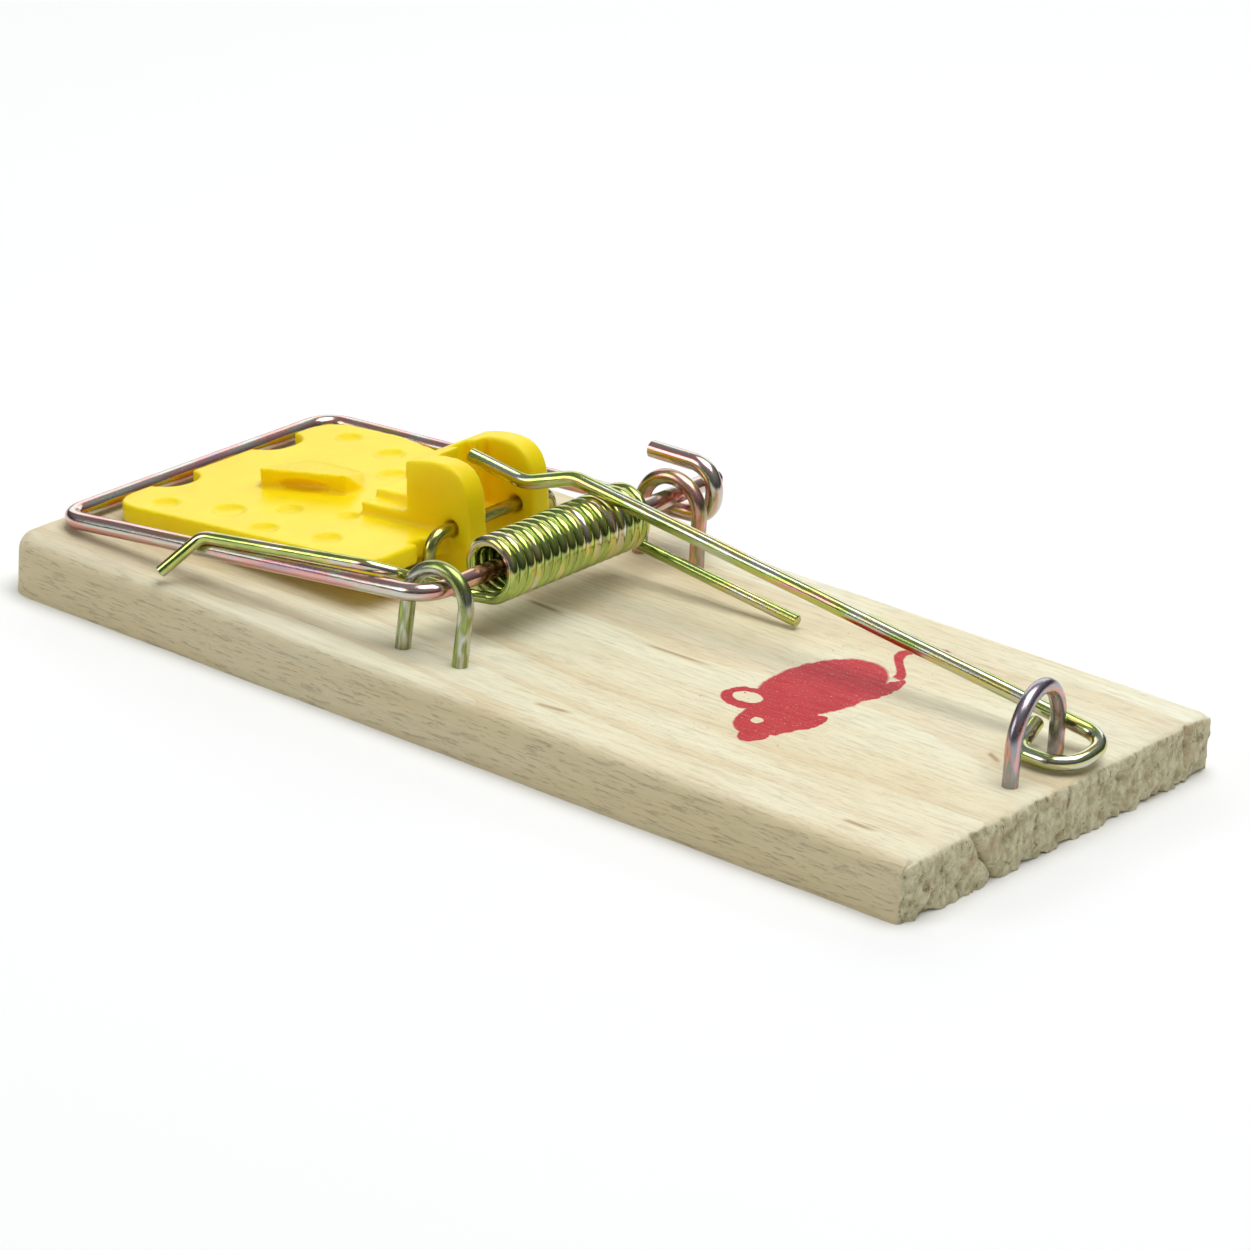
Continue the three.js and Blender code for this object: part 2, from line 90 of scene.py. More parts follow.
class Shader:
    """A material with a Principled shader, and short names for the nodes that feed it."""

    def __init__(self, name):
        self.material = bpy.data.materials.new(name)
        self.material.use_nodes = True
        self.tree = self.material.node_tree
        self.principled = self.tree.nodes["Principled BSDF"]

    def node(self, kind, sockets=None, **settings):
        made = self.tree.nodes.new(kind)
        for key, value in settings.items():
            setattr(made, key, value)
        for key, value in (sockets or {}).items():
            self.feed(made.inputs[key], value)
        return made

    def feed(self, socket, value):
        if isinstance(value, bpy.types.NodeSocket):
            self.tree.links.new(value, socket)
        else:
            socket.default_value = value

    def set(self, **sockets):
        for key, value in sockets.items():
            self.feed(self.principled.inputs[key.replace("_", " ")], value)

    def math(self, operation, a, b=0.0):
        return self.node("ShaderNodeMath", {0: a, 1: b}, operation=operation).outputs[0]

    def plus(self, a, b):
        return self.math("ADD", a, b)

    def minus(self, a, b):
        return self.math("SUBTRACT", a, b)

    def times(self, a, b):
        return self.math("MULTIPLY", a, b)

    def higher(self, a, b):
        return self.math("MAXIMUM", a, b)

    def size(self, a):
        return self.math("ABSOLUTE", a)

    def scaled(self, vector, factors):
        made = self.node("ShaderNodeVectorMath", {0: vector, 1: factors}, operation="MULTIPLY")
        return made.outputs[0]

    def position(self):
        """Object coordinates in millimetres."""
        coordinate = self.node("ShaderNodeTexCoord").outputs["Object"]
        return self.scaled(coordinate, (1 / MM,) * 3)

    def split(self, vector):
        return self.node("ShaderNodeSeparateXYZ", {0: vector}).outputs

    def join(self, x, y, z):
        return self.node("ShaderNodeCombineXYZ", {0: x, 1: y, 2: z}).outputs[0]

    def noise(self, vector, scale, detail=3.0, roughness=0.5, stretch=(1, 1, 1)):
        stretched = self.scaled(vector, stretch)
        sockets = {"Vector": stretched, "Scale": scale, "Detail": detail, "Roughness": roughness}
        return self.node("ShaderNodeTexNoise", sockets).outputs["Fac"]

    def ramp(self, factor, stops, smooth=False):
        made = self.node("ShaderNodeValToRGB", {"Fac": factor})
        ramp = made.color_ramp
        ramp.interpolation = "EASE" if smooth else "LINEAR"
        while len(ramp.elements) < len(stops):
            ramp.elements.new(0.5)
        for element, (place, colour) in zip(ramp.elements, stops):
            element.position = place
            element.color = (*colour, 1)
        return made.outputs["Color"]

    def step(self, factor, low, high):
        """0 on low's side and 1 on high's side, with a smooth change between them."""
        sockets = {"Value": factor, "From Min": low, "From Max": high}
        made = self.node("ShaderNodeMapRange", sockets, interpolation_type="SMOOTHSTEP")
        return made.outputs["Result"]

    def mix(self, factor, a, b):
        made = self.node("ShaderNodeMix", data_type="RGBA")
        self.feed(made.inputs["Factor"], factor)
        self.feed(made.inputs["A"], (*a, 1) if isinstance(a, tuple) else a)
        self.feed(made.inputs["B"], (*b, 1) if isinstance(b, tuple) else b)
        return made.outputs["Result"]

    def bump(self, height, distance_mm, strength):
        sockets = {"Height": height, "Distance": distance_mm * MM, "Strength": strength}
        return self.node("ShaderNodeBump", sockets).outputs["Normal"]


# ------------------------------------------------------------------ plated wire

GOLD = (0.62, 0.55, 0.17)
GREEN = (0.40, 0.52, 0.13)
ROSE = (0.72, 0.37, 0.35)
LILAC = (0.47, 0.35, 0.42)
SILVER = (0.56, 0.57, 0.49)
STEEL = (0.32, 0.34, 0.37)
OLIVE = (0.28, 0.31, 0.11)
MOSS = (0.37, 0.43, 0.15)
TARNISH = (0.16, 0.13, 0.08)

TINT_RANGE = (0.32, 0.68)  # the noise stays mostly within this, so the tints are spread over it
DRIFT_SHARE = 0.72  # the rest of the tint comes from thin streaks along the wire
TARNISH_COVER = 0.45


def plated_wire(name, tints, roughness, patch_mm):
    """Yellow-passivated zinc: the tint drifts along the wire and round it."""
    s = Shader(name)
    uv = s.node("ShaderNodeUVMap", uv_map="wire").outputs[0]
    along, around, _ = s.split(uv)
    turn = s.times(around, 2 * math.pi)
    ring = s.join(along, s.math("COSINE", turn), s.math("SINE", turn))
    drift = s.noise(ring, 1.0, 2.0, 0.55, (1 / patch_mm, 0.55, 0.55))
    streak = s.noise(ring, 1.0, 3.0, 0.6, (0.16, 2.6, 2.6))
    speck = s.noise(ring, 1.0, 4.0, 0.7, (2.2, 4.0, 4.0))
    drawn = s.noise(ring, 1.0, 2.0, 0.5, (0.4, 9.0, 9.0))

    mixed = s.plus(s.times(drift, DRIFT_SHARE), s.times(streak, 1 - DRIFT_SHARE))
    first, last = TINT_RANGE
    apart = (last - first) / (len(tints) - 1)
    stops = [(first + apart * i, tint) for i, tint in enumerate(tints)]
    colour = s.ramp(mixed, stops, smooth=True)
    dull = s.step(speck, 0.62, 0.76)
    s.set(Base_Color=s.mix(s.times(dull, TARNISH_COVER), colour, TARNISH))
    s.set(Metallic=1.0)
    s.set(Roughness=s.plus(s.times(dull, 0.3), roughness))
    s.set(Normal=s.bump(s.plus(drawn, s.times(speck, 0.5)), 0.012, 0.6))
    return s.material


# ------------------------------------------------------------------ printed mark

MARK_PLACE = Vector((22.5, 0.5))  # centre of the printed mark on the board's top
MARK_WOBBLE = 0.5  # how unevenly the stamp's edge prints

# A mouse seen from its side, its nose towards -u and its back towards +v. Each
# piece is an ellipse: its centre and its radii.
MOUSE = {
    "body": ((1.5, -0.2), (7.6, 4.4)),
    "head": ((-6.6, -1.5), (4.6, 2.9)),
    "nose": ((-10.6, -2.3), (1.9, 1.2)),
    "ear": ((-4.9, 2.6), (2.3, 2.6)),
    "front_paw": ((-5.2, -4.3), (1.9, 0.75)),
    "hind_paw": ((4.8, -4.4), (3.0, 0.8)),
}
MOUSE_HOLES = {
    "eye": ((-8.2, -0.7), (0.55, 0.55)),
    "inner_ear": ((-4.8, 2.9), (1.1, 1.4)),
}
TAIL = {"start": 7.6, "end": 16.0, "half_width": 0.52, "drop": 2.2, "swing": 1.5, "wave": 0.62}

INK = (0.56, 0.020, 0.030)
INK_IN_FIBRE = (0.42, 0.012, 0.020)


def ellipse_mask(s, u, v, centre, radii):
    """1 inside an ellipse of the mark's plane, with a soft edge."""
    a = s.math("DIVIDE", s.minus(u, centre[0]), radii[0])
    b = s.math("DIVIDE", s.minus(v, centre[1]), radii[1])
    distance = s.plus(s.times(a, a), s.times(b, b))
    return s.step(distance, 1.08, 0.94)


def mouse_tail(s, u, v):
    """A wave as wide as a pen stroke, behind the body."""
    wave = s.times(s.math("SINE", s.times(u, TAIL["wave"])), TAIL["swing"])
    off = s.size(s.minus(s.plus(v, TAIL["drop"]), wave))
    stroke = s.step(off, TAIL["half_width"] + 0.1, TAIL["half_width"] - 0.1)
    after_start = s.step(u, TAIL["start"] - 0.2, TAIL["start"] + 0.2)
    before_end = s.step(u, TAIL["end"] + 0.2, TAIL["end"] - 0.2)
    return s.times(stroke, s.times(after_start, before_end))


def mouse_silhouette(s, u, v):
    ink = 0.0
    for centre, radii in MOUSE.values():
        ink = s.higher(ink, ellipse_mask(s, u, v, centre, radii))
    for centre, radii in MOUSE_HOLES.values():
        ink = s.times(ink, s.minus(1.0, ellipse_mask(s, u, v, centre, radii)))
    return s.higher(ink, mouse_tail(s, u, v))


def ink_spatter(s, where, u, v):
    """Fine drops of ink round the mark."""
    near = s.times(s.step(s.size(u), 19.0, 13.0), s.step(s.size(v), 9.5, 5.0))
    return s.times(s.step(s.noise(where, 3.4, 2.0), 0.715, 0.75), near)


def printed_mark(s, where):
    """A generic mouse silhouette in stamped ink: how much ink lies at each point."""
    x, y, _ = s.split(where)
    wobble = s.times(s.minus(s.noise(where, 1.6, 2.0), 0.5), MARK_WOBBLE)
    u = s.plus(s.minus(y, MARK_PLACE.y), wobble)
    v = s.plus(s.minus(MARK_PLACE.x, x), wobble)
    worn = s.step(s.noise(where, 5.0, 4.0, 0.7), 0.30, 0.37)
    return s.higher(s.times(mouse_silhouette(s, u, v), worn), ink_spatter(s, where, u, v))


# ------------------------------------------------------------------ wood

# Each pattern's detail and roughness, and how fine it is along X, Y and Z.
WOOD_NOISE = {
    "wander": (2.0, 0.5, (0.02, 0.06, 0.06)),
    "fibre": (4.0, 0.65, (0.09, 2.4, 2.4)),
    "cloud": (2.0, 0.5, (0.035, 0.11, 0.11)),
    "fleck": (3.0, 0.6, (0.12, 1.5, 1.5)),
    "pore": (4.0, 0.75, (0.4, 3.6, 3.6)),
    "vessel": (5.0, 0.7, (1.0, 1.3, 1.0)),
    "hole": (3.0, 0.6, (0.8, 1.7, 1.2)),
    "stain": (2.0, 0.5, (0.3, 0.35, 0.45)),
}

# Each tint's colour, and how strongly it covers what lies under it.
WOOD_TINTS = {
    "late_ring": ((0.68, 0.50, 0.28), 0.35),
    "fibre": ((0.60, 0.47, 0.28), 0.38),
    # painted shade: darkens the top towards the pedal's end, where less light falls
    "painted_left_shade": ((0.62, 0.52, 0.34), 0.55),
    "fleck": ((0.42, 0.27, 0.13), 0.5),
    "pore": ((0.24, 0.18, 0.10), 0.6),
    "hole": ((0.20, 0.12, 0.05), 0.75),
    "stain": ((0.45, 0.27, 0.14), 0.4),
    "resin": ((0.40, 0.25, 0.11), 0.75),
}
TOP_TONES = [
    (0.30, (0.88, 0.86, 0.68)),
    (0.52, (0.84, 0.79, 0.57)),
    (0.72, (0.79, 0.68, 0.44)),
]
END_TONES = [
    (0.30, (0.13, 0.09, 0.04)),
    (0.40, (0.48, 0.42, 0.25)),
    (0.56, (0.68, 0.63, 0.41)),
    (0.80, (0.86, 0.83, 0.60)),
]
SIDE_TONE = (0.63, 0.53, 0.31)
SIDE_COVER = 0.75

# The growth rings' centre line, which wanders, and the rings to a millimetre.
RINGS = {"centre_y": 9.0, "below": 46.0, "wander": 16.0, "per_mm": 0.42}

# Resin streaks on the top, each from one place to another.
STREAKS = [
    ((-7.7, -0.9), (-2.6, -1.3)),
    ((5.4, -1.4), (14.2, -1.2)),
    ((7.3, -18.4), (11.9, -17.7)),
    ((40.2, -18.8), (44.3, -18.9)),
    ((40.9, 0.9), (43.2, -0.3)),
]


def wood_noise(s, where, name):
    detail, roughness, stretch = WOOD_NOISE[name]
    return s.noise(where, 1.0, detail, roughness, stretch)


def tinted(s, tone, mask, name):
    colour, cover = WOOD_TINTS[name]
    return s.mix(s.times(mask, cover), tone, colour)


def brown_streaks(s, x, y, fibre):
    """Resin streaks along the grain: 1 on a streak's line, fading to its sides and ends."""
    ragged = s.times(fibre, 0.3)
    total = 0.0
    for (x0, y0), (x1, y1) in STREAKS:
        along = s.math("DIVIDE", s.minus(x, x0), x1 - x0)
        line = s.plus(s.times(along, y1 - y0), y0)
        off = s.plus(s.size(s.minus(y, line)), ragged)
        ends = s.times(s.step(along, 0.0, 0.25), s.step(along, 1.0, 0.6))
        total = s.higher(total, s.times(s.step(off, 0.6, 0.2), ends))
    return total


def late_wood(s, where, y, z):
    """1 in the dark late wood of each growth ring. The rings run along the board."""
    wander = s.times(s.minus(wood_noise(s, where, "wander"), 0.5), RINGS["wander"])
    across = s.plus(s.minus(y, RINGS["centre_y"]), wander)
    depth = s.plus(z, RINGS["below"])
    radius = s.math("SQRT", s.plus(s.times(across, across), s.times(depth, depth)))
    ring = s.math("FRACT", s.times(radius, RINGS["per_mm"]))
    return s.step(ring, 0.55, 0.97)


def planed_wood(s, where, x, late, fibre):
    """The top's colour, with painted shade that darkens it towards the pedal's end, where less light
    falls.
    """
    tone = s.ramp(wood_noise(s, where, "cloud"), TOP_TONES)
    tone = tinted(s, tone, late, "late_ring")
    tone = tinted(s, tone, s.step(fibre, 0.42, 0.75), "fibre")
    # painted shade, growing darker towards the pedal's end
    tone = tinted(s, tone, s.step(x, -8.0, -46.0), "painted_left_shade")
    return tinted(s, tone, s.step(wood_noise(s, where, "fleck"), 0.68, 0.76), "fleck")


def end_grain(s, where, vessels):
    """The sawn ends' colour: cut vessels, open holes and brown stains."""
    tone = s.ramp(vessels, END_TONES)
    tone = tinted(s, tone, s.step(wood_noise(s, where, "hole"), 0.64, 0.70), "hole")
    return tinted(s, tone, s.step(wood_noise(s, where, "stain"), 0.52, 0.7), "stain")


def pine():
    """Pale softwood: growth rings through the board, fibres along X and rough ends."""
    s = Shader("pine")
    where = s.position()
    x, y, z = s.split(where)
    facing_x, facing_y, facing_z = s.split(s.node("ShaderNodeTexCoord").outputs["Normal"])
    end = s.step(s.size(facing_x), 0.45, 0.85)
    side = s.step(s.size(facing_y), 0.4, 0.9)
    upward = s.step(facing_z, 0.6, 0.9)
    late = late_wood(s, where, y, z)
    fibre = wood_noise(s, where, "fibre")
    pores = s.step(wood_noise(s, where, "pore"), 0.52, 0.66)
    vessels = wood_noise(s, where, "vessel")

    tone = planed_wood(s, where, x, late, fibre)
    tone = s.mix(s.times(side, SIDE_COVER), tone, tinted(s, SIDE_TONE, pores, "pore"))
    tone = s.mix(end, tone, end_grain(s, where, vessels))
    tone = tinted(s, tone, s.times(brown_streaks(s, x, y, fibre), upward), "resin")
    ink = s.times(printed_mark(s, where), upward)
    s.set(Base_Color=s.mix(ink, tone, s.mix(s.times(fibre, 0.5), INK, INK_IN_FIBRE)))
    s.set(Roughness=s.plus(s.times(ink, -0.15), 0.72))
    s.set(Specular_IOR_Level=0.35)
    relief = s.plus(fibre, s.times(late, 0.5))
    relief = s.plus(relief, s.times(s.higher(pores, end), vessels))
    s.set(Normal=s.bump(relief, 0.12, 0.6))
    return s.material


# ------------------------------------------------------------------ plastic and floor

def yellow_plastic():
    """Moulded plastic that lets some light through, with a fine satin skin."""
    s = Shader("yellow_plastic")
    where = s.position()
    cloud = s.noise(where, 0.22)
    skin = s.noise(where, 3.0, 3.0, 0.6)
    s.set(Base_Color=s.ramp(cloud, [(0.3, (1.0, 0.68, 0.001)), (0.7, (1.0, 0.74, 0.004))]))
    s.set(Roughness=s.plus(s.times(skin, 0.2), 0.28))
    s.set(Subsurface_Weight=0.5, Subsurface_Scale=0.004, Subsurface_Radius=(1.0, 0.6, 0.05))
    s.set(IOR=1.5, Specular_IOR_Level=0.3)
    s.set(Normal=s.bump(skin, 0.02, 0.5))
    return s.material


def plain_floor():
    s = Shader("pale_floor")
    s.set(Base_Color=(0.93, 0.93, 0.92, 1), Roughness=0.85, Specular_IOR_Level=0.1)
    return s.material


# ------------------------------------------------------------------ mesh helpers

def make_object(name, points, faces, material):
    """An object from points in millimetres."""
    mesh = bpy.data.meshes.new(name)
    mesh.from_pydata([tuple(c * MM for c in point) for point in points], [], faces)
    mesh.materials.append(material)
    made = bpy.data.objects.new(name, mesh)
    bpy.context.scene.collection.objects.link(made)
    return made


def shade_smooth(made, sharp_degrees):
    made.data.shade_smooth()
    made.data.set_sharp_from_angle(angle=math.radians(sharp_degrees))


BEND_STEP = math.radians(7)


def bent_path(points, bends):
    """The centre line through corner points, each corner rounded to its bend radius."""
    corners = [Vector(point) for point in points]
    if not isinstance(bends, (list, tuple)):
        bends = [bends] * (len(corners) - 2)
    line = [corners[0]]
    for before, corner, after, radius in zip(corners, corners[1:], corners[2:], bends):
        into = (corner - before).normalized()
        out = (after - corner).normalized()
        turn = into.angle(out)
        start = corner - into * radius * math.tan(turn / 2)
        inward = (out - into * into.dot(out)).normalized()
        centre = start + inward * radius
        steps = max(4, math.ceil(turn / BEND_STEP))
        for i in range(steps + 1):
            angle = turn * i / steps
            line.append(centre - inward * radius * math.cos(angle) + into * radius * math.sin(angle))
    line.append(corners[-1])
    return line


STATION_GAP = 1.5  # along a wire's straight stretches
END_BREAK = {"depth": 0.14, "length": 0.1}  # the small bevel at a wire's cut ends
WAVER_FINENESS = 0.18
WAVER_SEED = 1
WIRE_SHARP_DEGREES = 50

noise.seed_set(WAVER_SEED)  # without this, noise_vector takes its seed from the clock


def filled(line):
    """The same line, with extra points along its long straight stretches."""
    dense = [line[0]]
    for a, b in zip(line, line[1:]):
        parts = max(1, round((b - a).length / STATION_GAP))
        dense += [a.lerp(b, i / parts) for i in range(1, parts + 1)]
    return dense


def with_broken_ends(line, radius):
    """The line with one more station close to each end, and the wire's radius at each station."""
    first = line[0] + (line[1] - line[0]).normalized() * END_BREAK["length"]
    last = line[-1] + (line[-2] - line[-1]).normalized() * END_BREAK["length"]
    line = [line[0], first, *line[1:-1], last, line[-1]]
    radii = [radius] * len(line)
    radii[0] = radii[-1] = radius - END_BREAK["depth"]
    return line, radii


def wire_rings(line, radii, sides, waver):
    """A ring of points at each station of the line, and how far along the wire each lies."""
    points, marks = [], []
    normal = None
    travelled = 0.0
    for i, centre in enumerate(line):
        ahead = line[min(i + 1, len(line) - 1)]
        behind = line[max(i - 1, 0)]
        tangent = (ahead - behind).normalized()
        if normal is None:
            normal = tangent.orthogonal().normalized()
        normal = (normal - tangent * normal.dot(tangent)).normalized()
        side = tangent.cross(normal)
        if i:
            travelled += (centre - line[i - 1]).length
        marks.append(travelled)
        shift = noise.noise_vector(centre * WAVER_FINENESS) * waver
        for j in range(sides):
            angle = 2 * math.pi * j / sides
            arm = normal * math.cos(angle) + side * math.sin(angle)
            points.append(centre + shift + arm * radii[i])
    return points, marks


def wire_faces(marks, sides):
    """The faces between the rings and over both ends, and each face corner's place on the wire."""
    faces, places = [], []
    for i in range(len(marks) - 1):
        here, there = i * sides, (i + 1) * sides
        for j in range(sides):
            k = (j + 1) % sides
            faces.append((here + j, here + k, there + k, there + j))
            places += [(marks[i], j / sides), (marks[i], (j + 1) / sides)]
            places += [(marks[i + 1], (j + 1) / sides), (marks[i + 1], j / sides)]
    last = (len(marks) - 1) * sides
    faces.append(tuple(reversed(range(sides))))
    faces.append(tuple(range(last, last + sides)))
    places += [(0, j / sides) for j in range(2 * sides)]
    return faces, places


def wire(name, line, diameter, material, sides, waver=0.02):
    """A round wire along a centre line, very slightly wavy and cut square at both ends."""
    line, radii = with_broken_ends(filled(line), diameter / 2)
    points, marks = wire_rings(line, radii, sides, waver)
    faces, places = wire_faces(marks, sides)
    made = make_object(name, points, faces, material)
    layer = made.data.uv_layers.new(name="wire")
    for loop, place in zip(layer.data, places):
        loop.uv = place
    shade_smooth(made, WIRE_SHARP_DEGREES)
    return made


# ------------------------------------------------------------------ hammer

HAMMER = {
    "hook_bottom": 1.8,  # below the axle
    "hook_reach": 4.2,
    "hook_sag": 0.15,
    "bends": [2.6, 2.5, 2.5, 2.35, 2.35],
}


def make_hammer():
    """One wire: axle, near bend, near rail, crossbar, far rail and the hook round the axle's end."""
    low, high = box_mm("hammer")
    radius = HAMMER_WIRE / 2
    crossbar_x, crossbar_z = low.x + radius, low.z + radius
    rail_y = -low.y - radius
    hook_x, hook_top = high.x - radius, high.z - radius
    line = bent_path(
        [
            (AXLE.x, high.y, AXLE.z),
            (AXLE.x, -rail_y, AXLE.z),
            (crossbar_x, -rail_y, crossbar_z),
            (crossbar_x, rail_y, crossbar_z),
            (hook_x, rail_y, AXLE.z - HAMMER["hook_bottom"]),
            (hook_x, rail_y, hook_top),
            (AXLE.x - HAMMER["hook_reach"], rail_y, hook_top - HAMMER["hook_sag"]),
        ],
        HAMMER["bends"],
    )
    rosy = plated_wire("rosy_zinc", [LILAC, ROSE, SILVER, ROSE, GOLD], 0.2, 11)
    made = wire("hammer_wire", line, HAMMER_WIRE, rosy, sides=32)
    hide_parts("hammer")
    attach(made, "hammer_frame")


# ------------------------------------------------------------------ spring

SPRING = {"radius": 2.5, "turns": 17, "per_turn": 40, "start_y": -9.7, "end_y": 9.6}
COIL_BOTTOM = AXLE.z - SPRING["radius"]

# The leg on the hammer's rail. Its tip is measured in from its solid's box, its
# bend and rise from the rail and the axle's height, and its start from the coil.
STRIKING_LEG = {
    "tip_inset": (0.48, 0.42),
    "tip_z": TOP + 1.0,
    "bend": (-29.8, -0.8, -1.5),
    "rise": (-11.0, 0.5, 0.77),
    "start": (-1.6, -0.8, 0.05),
    "bends": [1.5, 4.0, 1.6],
}
BOARD_LEG = {"lead": (1.5, 0.1), "tip_y": 10.8, "tip_z": TOP + 0.75, "bend": 6.0}


def striking_leg():
    low, _ = box_mm("spring_striking_leg")
    rail_y = box_mm("hammer")[0].y + HAMMER_WIRE / 2
    tip_x, tip_y = STRIKING_LEG["tip_inset"]
    bend_x, bend_y, bend_z = STRIKING_LEG["bend"]
    rise_x, rise_y, rise_z = STRIKING_LEG["rise"]
    start_x, start_y, start_z = STRIKING_LEG["start"]
    corners = [
        (low.x + tip_x, low.y + tip_y, STRIKING_LEG["tip_z"]),
        (bend_x, rail_y + bend_y, AXLE.z + bend_z),
        (rise_x, rail_y + rise_y, AXLE.z + rise_z),
        (AXLE.x + start_x, SPRING["start_y"] + start_y, COIL_BOTTOM + start_z),
        (AXLE.x, SPRING["start_y"], COIL_BOTTOM),
    ]
    return bent_path(corners, STRIKING_LEG["bends"])


def coil():
    line = []
    count = SPRING["turns"] * SPRING["per_turn"]
    for i in range(1, count):
        angle = 2 * math.pi * i / SPRING["per_turn"]
        line.append(Vector((
            AXLE.x + SPRING["radius"] * math.sin(angle),
            SPRING["start_y"] + (SPRING["end_y"] - SPRING["start_y"]) * i / count,
            AXLE.z - SPRING["radius"] * math.cos(angle),
        )))
    return line


def board_leg():
    _, far = box_mm("spring_coil")
    lead_x, lead_y = BOARD_LEG["lead"]
    corners = [
        (AXLE.x, SPRING["end_y"], COIL_BOTTOM),
        (AXLE.x + lead_x, SPRING["end_y"] + lead_y, COIL_BOTTOM),
        (far.x, BOARD_LEG["tip_y"], BOARD_LEG["tip_z"]),
    ]
    return bent_path(corners, BOARD_LEG["bend"])


def make_spring():
    """One wire: the leg on the hammer's rail, the coil round the axle and the leg on the board."""
    green = plated_wire("green_zinc", [OLIVE, GREEN, MOSS, GREEN, GOLD, SILVER, ROSE], 0.15, 4)
    line = striking_leg() + coil() + board_leg()
    made = wire("torsion_spring", line, SPRING_WIRE, green, sides=20, waver=0.0)
    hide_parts("spring_coil", "spring_striking_leg")
    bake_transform(made)


# ------------------------------------------------------------------ locking bar

LATCH = {
    "eye_end": (42.6, 5.4, TOP + 1.9),
    "eye_left": 43.6,
    "eye_floor": TOP + 0.9,
    "heel_y": 7.0,
    "heel_z": TOP + 1.66,
    "over_spring": (-7.0, 4.3, TOP + 10.15),
    "dip": (-11.7, 3.4, TOP + 8.64),
    "tip": (-17.4, 2.5, TOP + 9.87),
    "bends": [1.9, 2.6, 2.3, 3.2, 3.6],
}


def make_latch_bar():
    """The locking bar: an open eye round its staple's leg, a long straight, and a kinked tip."""
    low, high = box_mm("latch_bar")
    radius = LATCH_WIRE / 2
    front_y, heel_x = low.y + radius, high.x - radius
    line = bent_path(
        [
            LATCH["eye_end"],
            (LATCH["eye_left"], front_y, LATCH["eye_floor"]),
            (heel_x, front_y, LATCH["eye_floor"]),
            (heel_x, LATCH["heel_y"], LATCH["heel_z"]),
            LATCH["over_spring"],
            LATCH["dip"],
            LATCH["tip"],
        ],
        LATCH["bends"],
    )
    gold = plated_wire("gold_zinc", [ROSE, GOLD, GREEN, SILVER, GOLD, SILVER], 0.17, 9)
    made = wire("latch_bar_wire", line, LATCH_WIRE, gold, sides=32)
    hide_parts("latch_bar")
    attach(made, "latch")


# ------------------------------------------------------------------ staples

AXLE_STAPLE_SPAN = 6.14
STAPLES = {
    "near_axle_staple": {"foot": (-5.1, -16.7), "turn": 3, "lean": 6, "span": AXLE_STAPLE_SPAN},
    "far_axle_staple": {"foot": (-4.8, 15.7), "turn": 4, "lean": 0, "span": AXLE_STAPLE_SPAN},
    "latch_staple": {"foot": (45.5, 0.95), "turn": 99.2, "lean": 0, "span": 8.6},
}
STAPLE_TINTS = {
    "near_axle_staple": [OLIVE, SILVER, OLIVE, GREEN],
    "far_axle_staple": [LILAC, OLIVE, ROSE, GOLD],
    "latch_staple": [STEEL, LILAC, STEEL, ROSE, OLIVE],
}
SHOWN_DEPTH = 1.6  # how far into the board a staple is drawn, which is not as far as it goes
SHORTEST = 0.01  # the straight left between the two bends of a round crown
PIVOT_BEND = 1.7


def staple_line(foot, turn, lean, span, top_z):
    half = span / 2
    crown = top_z - TOP - STAPLE_WIRE / 2
    corners = [
        (-half, 0, -SHOWN_DEPTH),
        (-half, 0, crown),
        (half, 0, crown),
        (half, 0, -SHOWN_DEPTH),
    ]
    place = (
        Matrix.Translation((foot[0], foot[1], TOP))
        @ Matrix.Rotation(math.radians(turn), 4, "Z")
        @ Matrix.Rotation(math.radians(-lean), 4, "X")
    )
    return bent_path([place @ Vector(corner) for corner in corners], half - SHORTEST)


def make_staples():
    for node, shape in STAPLES.items():
        line = staple_line(**shape, top_z=box_mm(node)[1].z)
        tone = plated_wire(f"{node}_zinc", STAPLE_TINTS[node], 0.26, 4)
        made = wire(f"{node}_wire", line, STAPLE_WIRE, tone, sides=28)
        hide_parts(node)
        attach(made, "base")


def pivot_legs():
    """Where the pivot wire's two legs stand, along Y."""
    low, high = box_mm("pedal_pivot_wire")
    return low.y + PIVOT_WIRE / 2, high.y - PIVOT_WIRE / 2


def make_pivot():
    """The wide staple that the pedal turns on."""
    near, far = pivot_legs()
    line = bent_path(
        [
            (PIVOT.x, near, TOP - SHOWN_DEPTH),
            (PIVOT.x, near, PIVOT.z),
            (PIVOT.x, far, PIVOT.z),
            (PIVOT.x, far, TOP - SHOWN_DEPTH),
        ],
        PIVOT_BEND,
    )
    tone = plated_wire("pivot_zinc", [OLIVE, GOLD, OLIVE, SILVER], 0.24, 4)
    made = wire("pedal_pivot", line, PIVOT_WIRE, tone, sides=24)
    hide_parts("pedal_pivot_wire")
    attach(made, "base")


# ------------------------------------------------------------------ board

BOARD = {
    "left_radius": 3.0,
    "right_radius": 1.6,
    "edge_radius": 1.6,
    "end_edge_radius": 1.0,
    "step": (0.42, 0.3, 0.22),
    "fine_count": 7,  # grid steps over a rounded stretch
    "sharp_degrees": 55,
}
UNEVEN = {"top_share": 0.6, "top": 0.03, "edge_width": 2.0, "edge": 0.08}
DENT = {"depth": 0.22, "reach": 6.0, "spread": 0.9}  # where a staple went in; squared distances

